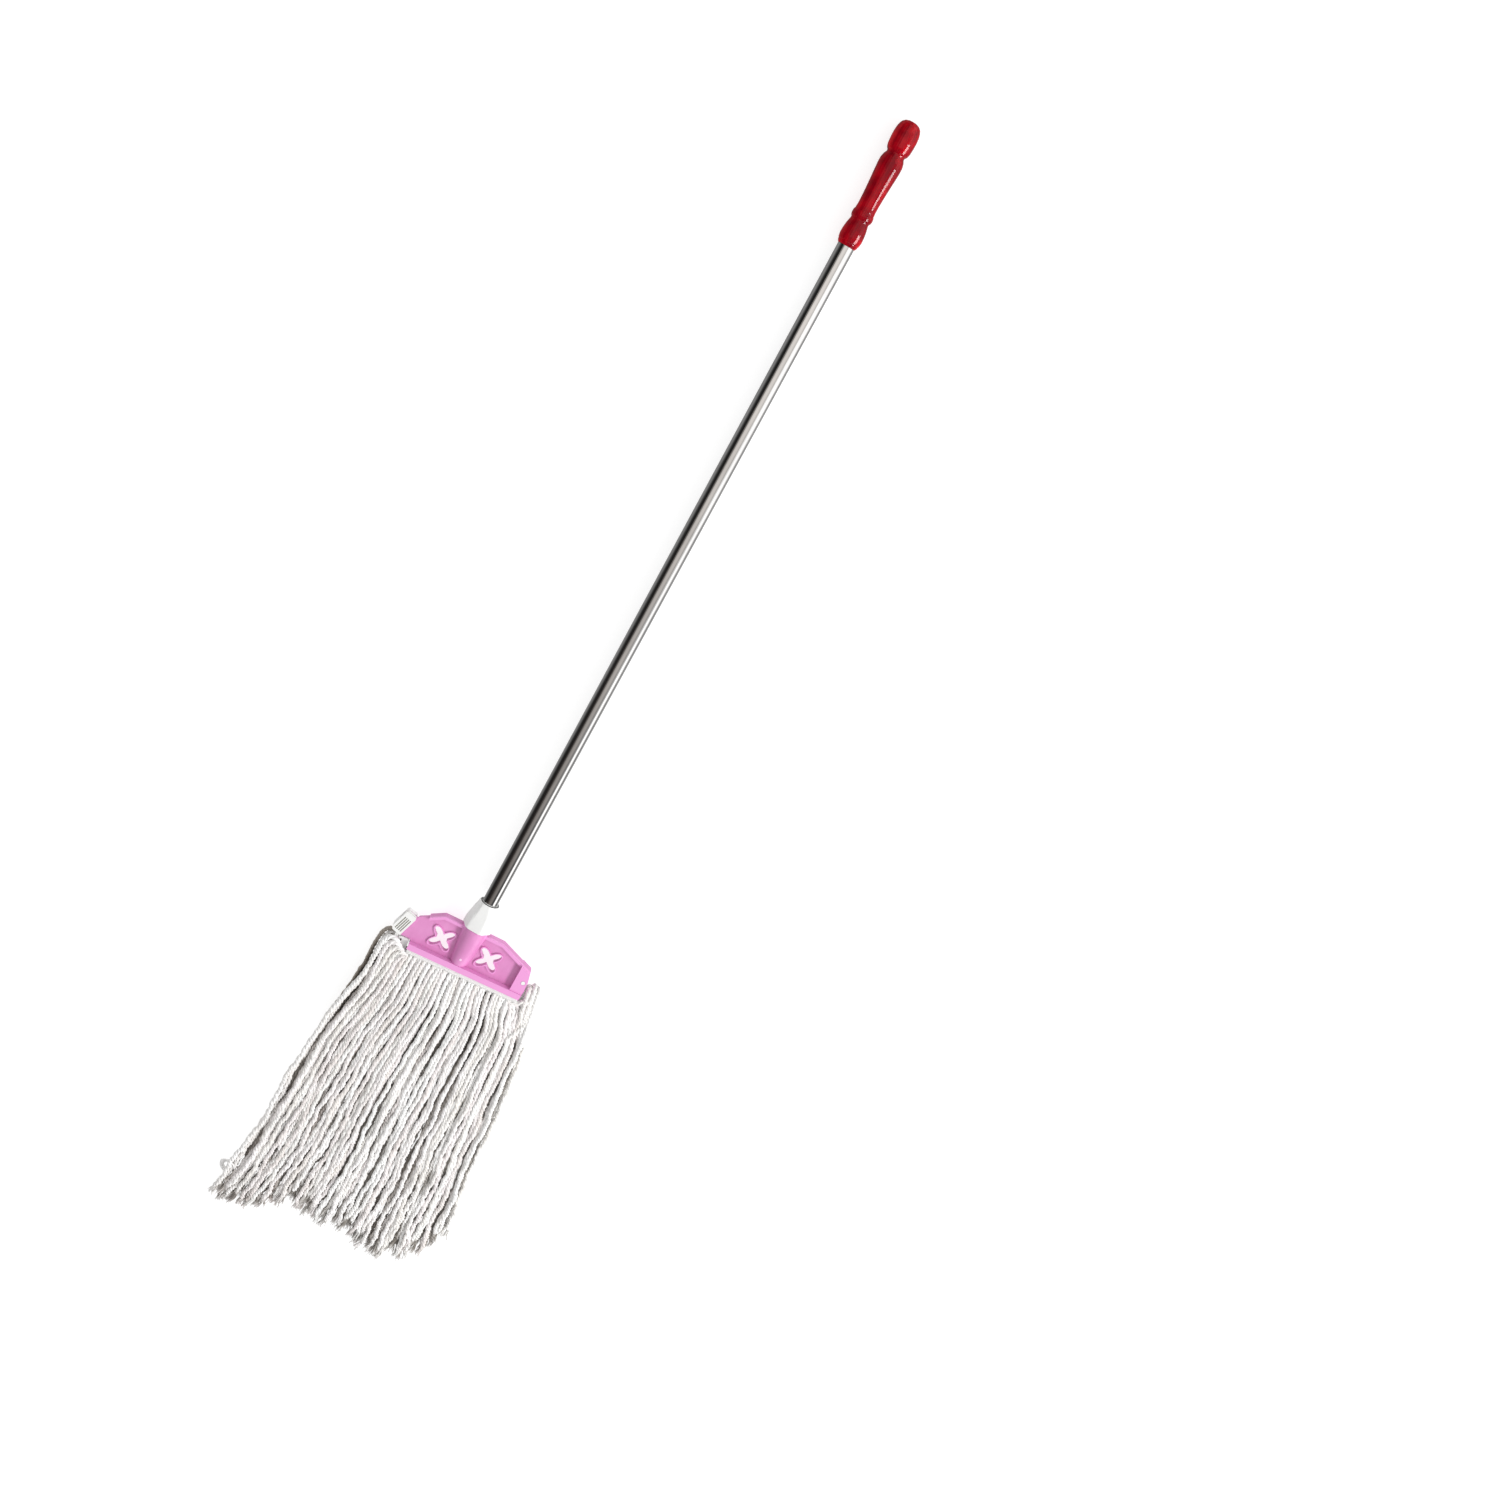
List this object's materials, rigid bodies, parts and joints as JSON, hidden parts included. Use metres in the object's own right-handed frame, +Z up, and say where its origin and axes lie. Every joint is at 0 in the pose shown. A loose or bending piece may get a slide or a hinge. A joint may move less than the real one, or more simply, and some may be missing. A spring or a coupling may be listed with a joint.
{
  "type": "string mop",
  "caption": "Wet mop with a steel handle, turned grip, lock nut and a plastic clamp head that holds a folded cotton yarn bundle.",
  "frame": {"origin": "middle of the footprint, on the surface that the mop lies on", "axes": "+Y along the handle from the yarn to the grip, +Z up out of the head's front, +X to the clamp's hinge side"},
  "size_m": [0.3344, 1.7633, 0.0424],
  "materials": {
    "steel": "polished",
    "lacquer": "glossy lacquer over turned wood",
    "white_plastic": "satin moulded",
    "grey_plastic": "satin moulded",
    "pink_plastic": "satin moulded",
    "rubber": "matt",
    "canvas": "plain woven cotton tape",
    "yarn": "twisted cotton yarn"
  },
  "bodies": {
    "head": {"head_frame": "pink_plastic", "collet": "grey_plastic", "gate_pin": "white_plastic", "latch_pin": "steel"},
    "gate": {"gate_arm": "white_plastic", "header_tape": "canvas", "yarn_fold": "yarn", "yarn_front_1": "yarn", "yarn_front_2": "yarn", "yarn_front_3": "yarn", "yarn_front_4": "yarn", "yarn_front_5": "yarn", "yarn_front_6": "yarn", "yarn_back_1": "yarn", "yarn_back_2": "yarn", "yarn_back_3": "yarn", "yarn_back_4": "yarn", "yarn_back_5": "yarn", "yarn_back_6": "yarn", "yarn_shoulder_right": "yarn", "yarn_shoulder_left_front": "yarn", "yarn_shoulder_left_back": "yarn"},
    "latch": {"latch": "white_plastic"},
    "nut_seal": {"nut_ring": "rubber"},
    "nut": {"lock_nut": "white_plastic"},
    "handle": {"handle_tube": "steel", "tube_plug": "rubber", "grip": "lacquer"}
  },
  "joints": [
    {"name": "gate_swing", "type": "hinge", "parent": "head", "child": "gate", "pos_m": [0.0941, -0.3545, 0.0217], "axis": [0, 0, 1], "range_deg": [0, 75]},
    {"name": "latch_turn", "type": "hinge", "parent": "head", "child": "latch", "pos_m": [-0.087, -0.341, 0.0217], "axis": [0, 0, 1], "range_deg": [-35, 0]},
    {"name": "nut_travel", "type": "slide", "parent": "head", "child": "nut_seal", "axis": [0, 1, -0.0047], "range_m": [0, 0.004]},
    {"name": "nut_turn", "type": "hinge", "parent": "nut_seal", "child": "nut", "pos_m": [0, -0.311, 0.0217], "axis": [0, 1, -0.0047], "range_deg": [0, 720]},
    {"name": "handle_slide", "type": "slide", "parent": "head", "child": "handle", "axis": [0, 1, -0.0047], "range_m": [0, 0.12]}
  ],
  "couplings": [
    {"joint": "nut_travel", "follows": "nut_turn", "m_per_rad": 0.000318}
  ]
}
